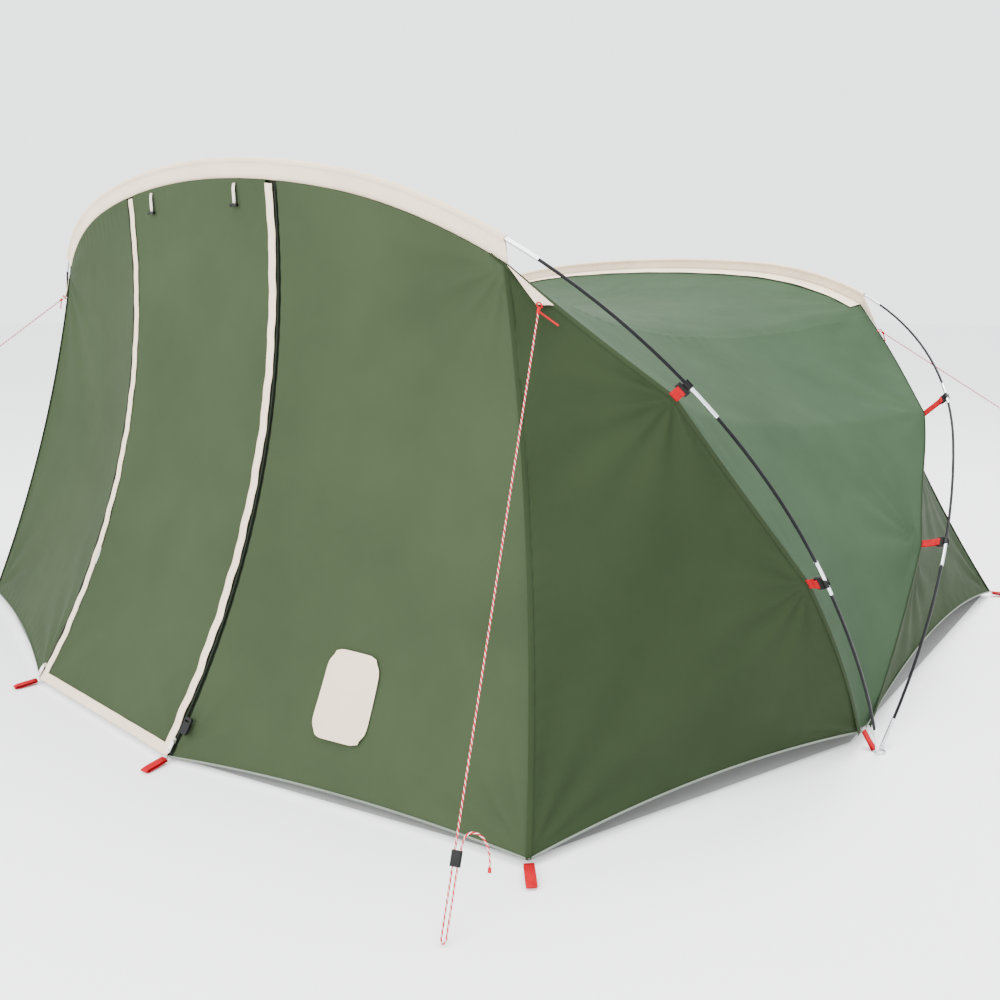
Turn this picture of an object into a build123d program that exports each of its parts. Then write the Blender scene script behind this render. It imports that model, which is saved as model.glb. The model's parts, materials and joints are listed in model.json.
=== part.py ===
from build123d import *
import math
import os
from bisect import bisect_left

# A family tent pitched on two arched fibreglass poles that share one foot ring on each side.
# The front pole leans towards the door (-Y), the rear pole leans back (+Y), and the cloth is
# stretched between them, from sleeves over the tops of the poles and from clips lower down.
# Millimetres, +Z up. The origin is on the ground, midway between the two foot rings.

# ---- Driving dimensions -------------------------------------------------------------------
SPAN = 3500  # between the two foot rings, across the tent
FOOT_GAP = 12  # each pole foot stands this far in front of or behind the ring's centre
FOOT_HEIGHT = 6
CORNER_LIFT = 20  # height of the cloth corners above the ground
FRONT_CORNER = (1373, -1006)
REAR_CORNER = (1617, 1580)
DOOR_HALF = 374  # half the width of the doorway, between the two zips
DOOR_FRONT = -1267  # the foot of the door

ROD_RADIUS = 3.95
ROD_BORE = 2.0
FERRULE_RADIUS = 5.0
FERRULE_BORE = 4.1
FERRULE_LENGTH = 100
TIP_LENGTH = 92
SOCKET_DEPTH = 56  # how far a foot pin reaches into a pole's tip

SLEEVE_RADIUS = 8.0  # of the tunnel around the pole
SLEEVE_CLOTH = 1.5
SLEEVE_TAIL = 45  # from the pole's axis to where the walls are sewn on
CLOTH = 2.0

WEB_WIDTH = 25
WEB_THICKNESS = 1.6

RING_RADIUS = 15
RING_WIRE = 2.5

CORD_RADIUS = 2.0

os.makedirs("parts", exist_ok=True)


# ---- The two arched poles -----------------------------------------------------------------
class Hoop:
    """An arched pole in a plane that leans by tilt degrees.

    Each half is three arcs that run into each other: foot, shoulder and crown. The crown's
    radius follows from the span. Places along it are distances from the right foot.
    """

    def __init__(self, side, tilt, splay, radii, turns):
        self.side = side
        self.tilt = math.radians(tilt)
        across, up, heading, length = SPAN / 2, 0.0, -math.radians(splay), 0.0
        self.arcs = []
        for radius, turn in zip(radii, turns):
            angle = math.radians(turn)
            self.arcs.append((length, radius, across, up, heading))
            across -= radius * (math.cos(heading) - math.cos(heading + angle))
            up += radius * (math.sin(heading + angle) - math.sin(heading))
            heading += angle
            length += radius * angle
        crown = across / math.cos(heading)
        self.arcs.append((length, crown, across, up, heading))
        self.half = length + crown * (math.pi / 2 - heading)
        self.length = 2 * self.half

    def flat(self, place):
        """Across, up and heading in the pole's own plane, on the right half."""
        length, radius, across, up, start = [a for a in self.arcs if a[0] <= max(place, 0)][-1]
        heading = start + (place - length) / radius
        across -= radius * (math.cos(start) - math.cos(heading))
        up += radius * (math.sin(heading) - math.sin(start))
        return across, up, heading

    def stand(self, across, up, out):
        """A point of the pole's own plane, moved out of it by out, in the tent's frame."""
        return Vector(
            across,
            self.side * (FOOT_GAP + up * math.sin(self.tilt) + out * math.cos(self.tilt)),
            FOOT_HEIGHT + up * math.cos(self.tilt) - out * math.sin(self.tilt),
        )

    def point(self, place, inward=0.0, out=0.0):
        """The point at a distance from the right foot, moved inward and out of the plane."""
        mirror = 1 if place <= self.half else -1
        across, up, heading = self.flat(place if mirror > 0 else self.length - place)
        across -= inward * math.cos(heading)
        up -= inward * math.sin(heading)
        return self.stand(mirror * across, up, out)

    def tangent(self, place):
        return (self.point(place + 0.5) - self.point(place - 0.5)).normalized()

    def inward(self, place):
        return self.point(place, inward=1) - self.point(place)

    def path(self, start, end):
        """The pole's centre line between two places, as arcs that meet without a kink."""
        marks = [a[0] for a in self.arcs[1:]]
        marks += [self.length - mark for mark in marks]
        cuts = [start] + sorted(m for m in marks if start + 1 < m < end - 1) + [end]
        pieces = []
        for a, b in zip(cuts, cuts[1:]):
            pieces.append(ThreePointArc(self.point(a), self.point((a + b) / 2), self.point(b)))
        return Wire(pieces)

    def place_at(self, across):
        """The place on the right half where the cloth's edge is at a given distance across."""
        places = [SLEEVE_START[self] + i for i in range(int(self.half - SLEEVE_START[self]))]
        return places[bisect_left(places, -across, key=lambda place: -cloth_edge(self, place, 4).X)]


FRONT = Hoop(side=-1, tilt=28.75, splay=1.5, radii=(2270, 1448), turns=(16.5, 62.5))
REAR = Hoop(side=1, tilt=50.8, splay=2.8, radii=(3315, 1336), turns=(19.5, 66))

# places along each pole, from the foot: ends of the sleeve, joints between rods, clips
SLEEVE_START = {FRONT: 1730, REAR: 2050}
JOINTS = {FRONT: (615, 1140, 1670, 2245), REAR: (670, 1360, 2000, 2590)}
CLIPS = {FRONT: (600, 1187), REAR: (712, 1345)}
# how far the cloth's edge is from the pole at the foot, at each clip and at the sleeve, and
# how much further it draws in halfway between them
EDGE_TAILS = {FRONT: (45, 45, 45, 45), REAR: (45, 72, 97, 45)}
EDGE_SAGS = {FRONT: (0, 25, 22), REAR: (8, 20, 46)}
HOOPS = {"front": FRONT, "rear": REAR}

written = []


def save(name, shape):
    export_step(shape, f"parts/{name}.step")
    written.append(name)


def mirrored(shape):
    return mirror(shape, about=Plane.YZ)


def save_pair(name, shape):
    """The right-hand piece and its mirror image."""
    save(f"{name}_right", shape)
    save(f"{name}_left", mirrored(shape))


def tube(path, outer, inner=0.0):
    start = Plane(origin=path @ 0, z_dir=path % 0)
    ring = Circle(outer) - Circle(inner) if inner else Circle(outer)
    return sweep(start * ring, path=path)


def rod_set(hoop):
    """The rods of half a pole, one hollow rod between each two joints."""
    cuts = [SOCKET_DEPTH + 4, *JOINTS[hoop], hoop.half]
    return Compound([tube(hoop.path(a + 1, b - 1), ROD_RADIUS, ROD_BORE) for a, b in zip(cuts, cuts[1:])])


def ferrule_set(hoop):
    """The metal tip at the foot and the metal tubes over the joints of half a pole."""
    tubes = [tube(hoop.path(6, TIP_LENGTH), FERRULE_RADIUS, FERRULE_BORE)]
    for joint in JOINTS[hoop]:
        half = FERRULE_LENGTH / 2
        tubes.append(tube(hoop.path(joint - half, joint + half), FERRULE_RADIUS, FERRULE_BORE))
    return tubes


def make_poles():
    for name, hoop in HOOPS.items():
        save_pair(f"{name}_pole", rod_set(hoop))
        ferrules = ferrule_set(hoop)
        save(f"{name}_ferrules_left", mirrored(Compound(ferrules)))
        crown = hoop.path(hoop.half - FERRULE_LENGTH / 2, hoop.half + FERRULE_LENGTH / 2)
        ferrules.append(tube(crown, FERRULE_RADIUS, FERRULE_BORE))
        save(f"{name}_ferrules_right", Compound(ferrules))


def make_foot_rings():
    """A steel ring on the ground with two pins, one up inside each pole's tip."""
    ring = Torus(RING_RADIUS, RING_WIRE).moved(Location((SPAN / 2, 0, RING_WIRE)))
    for hoop in HOOPS.values():
        foot = hoop.point(0)
        pin = tube(Wire([Line(hoop.point(-3), hoop.point(SOCKET_DEPTH))]), 3.2)
        knuckle = Sphere(5).moved(Location(foot))
        knuckle -= Box(30, 30, 10).moved(Location((foot.X, foot.Y, -5)))
        ring = ring + knuckle + pin
    save_pair("foot_ring", ring)


# ---- Where the cloth hangs ----------------------------------------------------------------
def smooth(x):
    x = min(max(x, 0.0), 1.0)
    return x * x * (3 - 2 * x)


def edge_distance(hoop, from_foot):
    """From the pole's axis to the cloth's edge."""
    marks = (0, *CLIPS[hoop], SLEEVE_START[hoop])
    if from_foot >= marks[-1]:
        return SLEEVE_TAIL
    span = max(i for i in range(3) if from_foot >= marks[i])
    t = (from_foot - marks[span]) / (marks[span + 1] - marks[span])
    low, high = EDGE_TAILS[hoop][span : span + 2]
    return low + (high - low) * t + EDGE_SAGS[hoop][span] * 4 * t * (1 - t)


def cloth_edge(hoop, place, out=0.0):
    """The line inside a pole that the cloth hangs from: the sleeve's tail, then the clips.

    The tail hangs straight down under the crown and lies in the pole's plane at the foot.
    """
    from_foot = max(min(place, hoop.length - place), 0)
    swing = hoop.tilt * smooth(from_foot / SLEEVE_START[hoop])
    distance = edge_distance(hoop, from_foot)
    return hoop.point(place, distance * math.cos(swing), distance * math.sin(swing) + out)


def make_sleeves():
    """A tunnel of cloth around the top of each pole with a flat tail that the walls join."""
    for name, hoop in HOOPS.items():
        start = SLEEVE_START[hoop]
        path = hoop.path(start, hoop.length - start)
        at_start = Plane(origin=path @ 0, x_dir=hoop.inward(start), z_dir=path % 0)
        toward_tail = cloth_edge(hoop, hoop.half) - hoop.point(hoop.half)
        swing = hoop.tilt
        turn = swing if at_start.to_local_coords(toward_tail + (path @ 0)).Y > 0 else -swing
        tail_length = SLEEVE_TAIL - SLEEVE_RADIUS + 1
        tail = Pos(SLEEVE_RADIUS - 1 + tail_length / 2, 0) * Rectangle(tail_length, 2 * SLEEVE_CLOTH)
        outline = Circle(SLEEVE_RADIUS) + tail - Circle(SLEEVE_RADIUS - SLEEVE_CLOTH)
        save(f"{name}_sleeve", sweep(at_start * Rot(0, 0, math.degrees(turn)) * outline, path=path))


# ---- Cloth panels -------------------------------------------------------------------------
def bowed(a, b, bow):
    """A curve from a to b that leaves the straight line by the vector bow at its middle."""
    return lambda t: a * (1 - t) + b * t + bow * (4 * t * (1 - t))


def arc_between(a, b, bow):
    """A circular arc from a to b whose middle is off the straight line by the vector bow."""
    arc = ThreePointArc(a, (a + b) / 2 + bow, b)
    return lambda t: arc @ t


def patch(bottom, top, left, right):
    """A surface over four edge curves, blended between them."""

    def surface(u, v):
        across = left(v) * (1 - u) + right(v) * u
        along = bottom(u) * (1 - v) + top(u) * v
        low = bottom(0) * (1 - u) + bottom(1) * u
        high = top(0) * (1 - u) + top(1) * u
        return across + along - low * (1 - v) - high * v

    return surface


def panel(surface, across=(0.0, 1.0), up=(0.0, 1.0), columns=9, rows=9):
    """Cloth of even thickness over part of a surface, as one closed solid."""
    grid = []
    for i in range(columns):
        u = across[0] + (across[1] - across[0]) * i / (columns - 1)
        grid.append([surface(u, up[0] + (up[1] - up[0]) * j / (rows - 1)) for j in range(rows)])
    face = Face.make_surface_from_array_of_points(grid)
    return thicken(face, amount=CLOTH / 2, both=True)


front_corner = Vector(*FRONT_CORNER, CORNER_LIFT)
rear_corner = Vector(*REAR_CORNER, CORNER_LIFT)
side_corner = Vector(SPAN / 2 - SLEEVE_TAIL, 0, 50)
door_foot = Vector(DOOR_HALF, DOOR_FRONT, 14)
door_top_place = FRONT.place_at(DOOR_HALF)
door_head = cloth_edge(FRONT, door_top_place, out=4)
EDGE_START = 50  # where the cloth's fold begins on each pole, from its foot
CANOPY_START = 110  # where the canopy begins there, clear of the side walls' corners

ZIP_SAG = Vector(0, 130, 0)
zip_curve = arc_between(door_foot, door_head, ZIP_SAG)
front_seam = bowed(front_corner, cloth_edge(FRONT, SLEEVE_START[FRONT], out=4), Vector(0, 40, 0))
rear_seam = bowed(rear_corner, cloth_edge(REAR, SLEEVE_START[REAR], out=4), Vector(-30, -45, 0))


def swapped(curve):
    """The same curve on the left-hand side."""
    return lambda t: Vector(-curve(t).X, curve(t).Y, curve(t).Z)


def edge_between(hoop, start, end, out=0.0):
    return lambda t: cloth_edge(hoop, start + (end - start) * t, out)


def sag(surface, amount, direction):
    """A surface pulled in at its middle, and not at its edges."""

    def pulled(u, v):
        return surface(u, v) + direction * (amount * 16 * u * (1 - u) * v * (1 - v))

    return pulled


def make_front_wall():
    hem = bowed(door_foot, front_corner, Vector(-10, 20, 12))
    top = edge_between(FRONT, door_top_place, SLEEVE_START[FRONT], out=4)
    wall = sag(patch(hem, top, zip_curve, front_seam), 45, Vector(-0.2, 1, 0))
    save_pair("front_wall", panel(wall, across=(0.017, 0.994), up=(0.0, 0.995), columns=8))

    foot = bowed(door_foot, Vector(-DOOR_HALF, DOOR_FRONT, 14), Vector(0, 0, 0))
    head = edge_between(FRONT, door_top_place, FRONT.length - door_top_place, out=4)
    door = patch(foot, head, zip_curve, swapped(zip_curve))
    # the cream bindings take the outer 30 mm on both sides and the lowest 40 mm
    save("door_panel", panel(door, across=(0.045, 0.955), up=(0.03, 0.993), columns=7))
    bindings = []
    for ends in ((0.004, 0.040), (0.960, 0.996)):
        bindings.append(panel(door, across=ends, up=(0.03, 0.99), columns=4))
    save("door_bindings", Compound(bindings))
    save("door_hem_band", panel(door, across=(0.004, 0.996), up=(0.0, 0.026), columns=5, rows=4))


def side_wall(hoop, corner, seam, lift):
    """The surface between a corner seam and the fold along a pole, on the right."""
    foot = side_corner + Vector(0, hoop.side * 14, 0)
    hem = bowed(corner, foot, Vector(-15, 0, lift))
    end = SLEEVE_START[hoop] - 40
    top = bowed(seam(1), cloth_edge(hoop, end, out=4), Vector(0, 0, 0))
    fold = edge_between(hoop, EDGE_START, end, out=4)

    def fold_from_corner(t):
        return fold(t) * smooth(8 * t) + foot * (1 - smooth(8 * t))

    return patch(hem, top, seam, fold_from_corner)


FRONT_SIDE = side_wall(FRONT, front_corner, front_seam, lift=27)
REAR_SIDE = side_wall(REAR, rear_corner, rear_seam, lift=70)


def off_surface(surface, u, v, off):
    """A point at a height over a surface."""
    across = surface(u + 0.01, v) - surface(u - 0.01, v)
    along = surface(u, v + 0.01) - surface(u, v - 0.01)
    return surface(u, v) + across.cross(along).normalized() * off


def make_side_walls():
    """On each side: the wall in front of the front pole and the one behind the rear pole."""
    for name, wall in (("front_side_wall", FRONT_SIDE), ("rear_side_wall", REAR_SIDE)):
        save_pair(name, panel(wall, across=(0.012, 0.99), up=(0.0, 0.985), columns=8, rows=24))


def canopy(u, v):
    """The saddle of cloth between the two poles: u runs from foot to foot, v front to rear."""
    ends = []
    for hoop in (FRONT, REAR):
        start, end = CANOPY_START, hoop.length - CANOPY_START
        ends.append(cloth_edge(hoop, start + (end - start) * u, out=-5))
    chord = ends[1] - ends[0]
    middle = (ends[0] + ends[1]) / 2
    pull = Vector(0, 350, 250) - middle
    pull -= chord * (pull.dot(chord) / chord.dot(chord))
    depth = 0.105 * chord.length
    return ends[0] * (1 - v) + ends[1] * v + pull.normalized() * (depth * 4 * v * (1 - v))


def make_canopy():
    shoulder = 0.31  # share of each pole's length where the side panels meet the roof
    save_pair("canopy_side", panel(canopy, across=(0.0, shoulder - 0.001), columns=22, rows=9))
    save("canopy_roof", panel(canopy, across=(shoulder + 0.001, 1 - shoulder - 0.001), columns=11))


def make_rear_wall():
    start = SLEEVE_START[REAR]
    hem = bowed(rear_corner, Vector(-rear_corner.X, rear_corner.Y, rear_corner.Z), Vector(0, 70, 25))
    top = edge_between(REAR, start, REAR.length - start, out=4)
    wall = sag(patch(hem, top, rear_seam, swapped(rear_seam)), 60, Vector(0, -1, 0))
    save("rear_wall", panel(wall, across=(0.003, 0.997), up=(0.0, 0.995), columns=11))


def make_groundsheet():
    inset_by = 22
    right = [
        (DOOR_HALF, DOOR_FRONT + inset_by),
        (FRONT_CORNER[0] - inset_by, FRONT_CORNER[1] + inset_by),
        (SPAN / 2 - 78, 0),
        (REAR_CORNER[0] - inset_by, REAR_CORNER[1] - inset_by),
    ]
    outline = right + [(-x, y) for x, y in reversed(right)]
    sheet = extrude(make_face(Polyline(*outline, close=True)), amount=3)
    save("groundsheet", sheet)


def make_gussets():
    """A pale triangle at each end of each sleeve, down to the guyline's tie."""
    start = SLEEVE_START[FRONT]
    front = [
        cloth_edge(FRONT, start - 4, out=18),
        cloth_edge(FRONT, start - 196, out=16),
        off_surface(FRONT_SIDE, 0.73, 0.908, off=16),
    ]
    start = SLEEVE_START[REAR]
    rear = [
        REAR.point(start - 4, inward=11, out=-23),
        cloth_edge(REAR, start - 4, out=-23),
        cloth_edge(REAR, start - 166, out=-29),
    ]
    for name, corners in (("front", front), ("rear", rear)):
        face = make_face(Polyline(*corners, close=True))
        save_pair(f"{name}_sleeve_gusset", thicken(face, amount=CLOTH / 2, both=True))


# ---- Webbing, clips and loops -------------------------------------------------------------
def local_plane(origin, x_dir, z_dir):
    return Plane(origin=origin, x_dir=x_dir, z_dir=z_dir)


def make_clips():
    """Hooks that snap on the poles, and the webbing that ties each one to the cloth."""
    grip = FERRULE_RADIUS + 0.3
    for name, hoop in HOOPS.items():
        hooks, straps = [], []
        for place in CLIPS[hoop]:
            # local x runs from the pole to the cloth, local z along the pole
            toward = cloth_edge(hoop, place) - hoop.point(place)
            at = local_plane(hoop.point(place), toward, hoop.tangent(place))
            ring = Circle(grip + 3) - Circle(grip)
            ring -= Pos(-8, 0) * Rectangle(9, 7.5)
            jaw = extrude(ring, amount=10, both=True)
            plate = Pos(15.5, 0, 0) * Box(16, 4.5, 34)
            plate -= Pos(18.5, 0, 0) * Box(3, 20, WEB_WIDTH + 2)
            hooks.append(at * (jaw + plate))
            # the webbing is folded round the bar beyond the slot and runs on to the cloth
            fold = Pos(22.35, 0) * Rectangle(9.3, 8.4) - Pos(22.35, 0) * Rectangle(6.1, 5.2)
            reach = toward.length - 3 - 26.5
            ply = Pos(26.5 + reach / 2, 0) * Rectangle(reach, WEB_THICKNESS)
            straps.append(at * extrude(fold + ply, amount=WEB_WIDTH / 2, both=True))
        save_pair(f"{name}_clip_hooks", Compound(hooks))
        save_pair(f"{name}_clip_straps", Compound(straps))


def webbing_loop(corner, direction, length=72, gap=5):
    """A flat loop of webbing from a cloth corner down to the ground, for a peg."""
    toward = Vector(*direction, 0).normalized()
    drop = corner.Z - 6
    along = (toward * length - Vector(0, 0, drop)).normalized()
    side = toward.cross(Vector(0, 0, 1))
    middle = corner + along * (length / 2)
    outline = SlotOverall(length, gap + 2 * WEB_THICKNESS) - SlotOverall(length - 2 * WEB_THICKNESS, gap)
    return local_plane(middle, along, side) * extrude(outline, amount=WEB_WIDTH / 2, both=True)


def make_peg_loops():
    places = (
        (Vector(DOOR_HALF + 4, DOOR_FRONT - 6, 12), (0.15, -1)),
        (front_corner + Vector(6, -6, -4), (0.7, -0.7)),
        (rear_corner + Vector(6, 6, -4), (0.7, 0.7)),
    )
    save_pair("peg_loops", Compound([webbing_loop(at, way) for at, way in places]))


def make_foot_straps():
    """Webbing from each side corner of the cloth to its foot ring, folded around the wire."""
    start = side_corner + Vector(2, 0, -6)
    ring = Vector(SPAN / 2 - RING_RADIUS, 0, RING_WIRE)
    along = (ring - start).normalized()
    run = (ring - start).length
    fold = Circle(RING_WIRE + 0.5 + WEB_THICKNESS) - Circle(RING_WIRE + 0.5)
    ply_length = run - RING_WIRE - 0.5
    ply = Pos(-RING_WIRE - 0.5 - ply_length / 2, 0) * Rectangle(ply_length, WEB_THICKNESS)
    # the wire curves away under a wide strap, so the strap is drawn in to 12 mm at the ring
    neck = extrude(fold, amount=3, both=True)
    at = local_plane(ring, along, Vector(0, 1, 0))
    blade = extrude(ply, amount=6, both=True)
    full_length = ply_length - 16
    full = Pos(-RING_WIRE - 12 - full_length / 2, 0, 0) * Box(full_length, WEB_THICKNESS, WEB_WIDTH)
    strap = at * (neck + blade + full)
    strap -= Box(200, 200, 20).moved(Location((SPAN / 2, 0, -9.9)))
    save_pair("foot_strap", strap)


# ---- Door fastenings ----------------------------------------------------------------------
def zip_frame(t, off=0.0, side=0.0):
    """A plane on the zip's curve: its z runs up the zip and its y points out of the wall."""
    along = (zip_curve(t + 0.002) - zip_curve(t - 0.002)).normalized()
    outward = along.cross(Vector(-1, 0, 0))
    origin = zip_curve(t) + outward * off + Vector(side, 0, 0)
    return Plane(origin=origin, x_dir=(-1, 0, 0), z_dir=along)


SLIDER_AT = 0.028  # share of the zip's length below the slider when the door is closed
CHAIN_SIDE = 5.5  # the zip's coil runs this far outside the door's edge
BAR_OFF = 4.6  # from the middle of the slider to the bar that its puller turns on


def make_zips():
    path = ThreePointArc(zip_curve(0.012), zip_curve(0.5), zip_curve(0.985))
    shift = Pos(CHAIN_SIDE, 0, 0)
    section = Plane(origin=path @ 0, x_dir=(1, 0, 0), z_dir=path % 0) * Rectangle(6, 2.4)
    save_pair("zip_coil", shift * sweep(section, path=path))

    # the slider, with a bar between two lugs on its face
    at = zip_frame(SLIDER_AT, off=4.2, side=CHAIN_SIDE)
    slider = fillet(Box(9, 4, 13).edges().filter_by(Axis.Y), 1.6)
    for lug in (-3.7, 3.7):
        slider += Pos(lug, BAR_OFF / 2, 0) * Box(1.4, BAR_OFF + 2, 3)
    slider += Pos(0, BAR_OFF, 0) * Rot(0, 90, 0) * Cylinder(0.8, 8)
    save_pair("zip_slider", at * slider)

    # the puller's eye is round the bar and the puller hangs down along the wall
    eye = Rot(0, 90, 0) * Cylinder(2.4, 4.4)
    handle = Pos(0, 0, -19) * fillet(Box(14, 2.4, 30).edges().filter_by(Axis.Y), 5)
    handle -= Pos(0, 0, -26) * Rot(90, 0, 0) * Cylinder(3.6, 10)
    neck = Pos(0, 0, -3.5) * Box(4.4, 2.4, 4)
    puller = eye + neck + handle - Rot(0, 90, 0) * Cylinder(1.2, 10)
    save_pair("zip_puller", at * Pos(0, BAR_OFF, 0) * puller)

    # a plastic fastener sewn to the wall beside the foot of the zip
    tab_at = zip_frame(0.058, off=7.5, side=CHAIN_SIDE + 24)
    tab = fillet(Box(30, 6, 44).edges().filter_by(Axis.Y), 6) - Pos(0, 0, 12) * Box(20, 10, 5)
    save("hem_buckle", tab_at * tab)


def make_toggles():
    """Two straps with a toggle that hold the rolled-up door, sewn below the sleeve."""
    for name, across in (("right", 215), ("left", -215)):
        place = FRONT.place_at(abs(across))
        top = cloth_edge(FRONT, place, out=4)
        at = Location((across, top.Y - 6, top.Z - 12))
        strap = Pos(0, 0, -26) * Box(14, 1.6, 52)
        bar = Pos(0, -1, -58) * Rot(0, 90, 0) * Cylinder(5, 34)
        save(f"toggle_{name}", at * (strap + bar))


# ---- Guylines -----------------------------------------------------------------------------
def cord(points, radii):
    path = FilletPolyline(*points, radius=radii)
    return tube(Wire(path.edges()), CORD_RADIUS)


def bend_radii(points):
    """The largest even bend at each point that its two runs leave room for."""
    radii = []
    for a, b, c in zip(points, points[1:], points[2:]):
        turn = math.radians((b - a).get_angle(c - b))
        radii.append(0.45 * min((b - a).length, (c - b).length) / math.tan(turn / 2))
    return radii


guy_tie = {
    "front": off_surface(FRONT_SIDE, 0.77, 0.904, off=20),
    "rear": cloth_edge(REAR, SLEEVE_START[REAR] - 182, out=-29),
}
KNOT_START, KNOT_END = 9, 21  # of the knot below each tie, from the tie's centre
PEG = Vector(1402, -1300, 5)  # where the near guyline turns round its peg
FAR_PEG_LEFT = Vector(-1750, -2150, 0)  # the other two lines point at these
FAR_PEG_REAR = Vector(2690, 2000, 0)
left_tie = Vector(-guy_tie["front"].X, guy_tie["front"].Y, guy_tie["front"].Z)
STRANDS = 10  # between the two strands below the runner
RUNNER_AT = 0.885  # share of the line above the runner


def make_guylines():
    # the near line: down to its peg, round it, back up through the runner and a loose tail
    tie = guy_tie["front"]
    down = (PEG - tie).normalized()
    back = down * -1
    across = Vector(0, 0, 1).cross(down).normalized()
    runner = tie + (PEG - tie) * RUNNER_AT
    leave = runner + back * 30 + across * STRANDS
    points = [
        tie + down * KNOT_END,
        PEG,
        PEG + across * STRANDS,
        leave,
        leave + back * 22 + across * 12,
        leave + back * 26 + across * 38 + Vector(0, 0, -6),
        leave + back * 6 + across * 58 + Vector(0, 0, -14),
        leave + down * 26 + across * 62 + Vector(0, 0, -10),
    ]
    radii = bend_radii(points)
    print("near guyline points", [tuple(round(c, 1) for c in p) for p in points])
    print("near guyline radii", [round(r, 1) for r in radii])
    save("guyline_front_right", cord(points, radii))
    last = (points[-1] - points[-2]).normalized()
    save("guy_tail_knot", Plane(origin=points[-1] + last * 5, z_dir=last) * Cylinder(3.6, 10))

    at = local_plane(runner + across * (STRANDS / 2), across, down)
    block = fillet(Box(22, 9, 30).edges().filter_by(Axis.Z), 3.5)
    block -= Pos(-STRANDS / 2, 0, 0) * Cylinder(CORD_RADIUS + 0.5, 60)
    block -= Pos(STRANDS / 2, 0, 0) * Cylinder(CORD_RADIUS + 0.5, 60)
    save("guy_runner", at * block)

    # two taut lines that go on to their pegs; each is made as far as its knotted end loop
    for name, tie, toward, length in (
        ("front_left", left_tie, FAR_PEG_LEFT, 330),
        ("rear_right", guy_tie["rear"], FAR_PEG_REAR, 620),
    ):
        way = (toward - tie).normalized()
        line = tube(Wire([Line(tie + way * KNOT_END, tie + way * length)]), CORD_RADIUS)
        save(f"guyline_{name}", line)
        end = local_plane(tie + way * length, way, way.cross(Vector(0, 0, 1)))
        knot = Pos(7, 0, 0) * Rot(0, 90, 0) * Cylinder(5, 14)
        eye = Pos(36, 0) * (SlotOverall(50, 18) - SlotOverall(42, 10))
        save(f"guy_loop_{name}", end * (knot + extrude(eye, amount=CORD_RADIUS, both=True)))


def knot(tie, toward, tail):
    """The knot of a guyline below its tie, with a short loose end along the vector tail."""
    way = (toward - tie).normalized()
    middle = tie + way * ((KNOT_START + KNOT_END) / 2)
    made = Plane(origin=middle, z_dir=way) * Cylinder(4, KNOT_END - KNOT_START)
    return made + tube(Wire([Line(middle, middle + tail)]), CORD_RADIUS)


def make_guy_ties():
    """A small ring at the tip of each gusset, and the knots of the guylines that are there."""
    rings = {}
    for name, hoop in HOOPS.items():
        at = SLEEVE_START[hoop] - 182
        plane = local_plane(guy_tie[name], hoop.inward(at), hoop.tangent(at))
        ring = plane * Rot(90, 0, 0) * Torus(7, 1.8)
        rings[name] = [ring, mirrored(ring)]
    along_fold = (cloth_edge(FRONT, 1450, out=20) - guy_tie["front"]).normalized() * 55
    rings["front"].append(knot(guy_tie["front"], PEG, tail=along_fold))
    rings["front"].append(knot(left_tie, FAR_PEG_LEFT, tail=Vector(-4, -4, -34)))
    rings["rear"].append(knot(guy_tie["rear"], FAR_PEG_REAR, tail=Vector(12, 0, -32)))
    for name, pieces in rings.items():
        save(f"{name}_guy_ties", Compound(pieces))


make_poles()
make_foot_rings()
make_sleeves()
make_front_wall()
make_side_walls()
make_canopy()
make_rear_wall()
make_groundsheet()
make_gussets()
make_clips()
make_peg_loops()
make_foot_straps()
make_zips()
make_toggles()
make_guylines()
make_guy_ties()

# the axes that the moving pieces turn about
foot, middle, head = zip_curve(0), zip_curve(0.5), zip_curve(1)
chord = head - foot
bow = (middle - (foot + head) / 2).length
zip_radius = (chord.length**2 / 4 + bow**2) / (2 * bow)
zip_centre = middle + ((foot + head) / 2 - middle).normalized() * zip_radius
slider = zip_frame(SLIDER_AT, 4.2, CHAIN_SIDE)
print("nodes", len(written))
print("zip radius", round(zip_radius, 1), "centre", zip_centre, "turn", chord.length / zip_radius)
print("zip foot", foot, "head", head)
print("door hinge", cloth_edge(FRONT, FRONT.half, out=4))
print("puller hinge", slider.origin + slider.y_dir * BAR_OFF)
print("runner slide", (PEG - guy_tie["front"]).normalized())
print("guy ties", guy_tie)
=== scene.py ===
import json
import math

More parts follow.
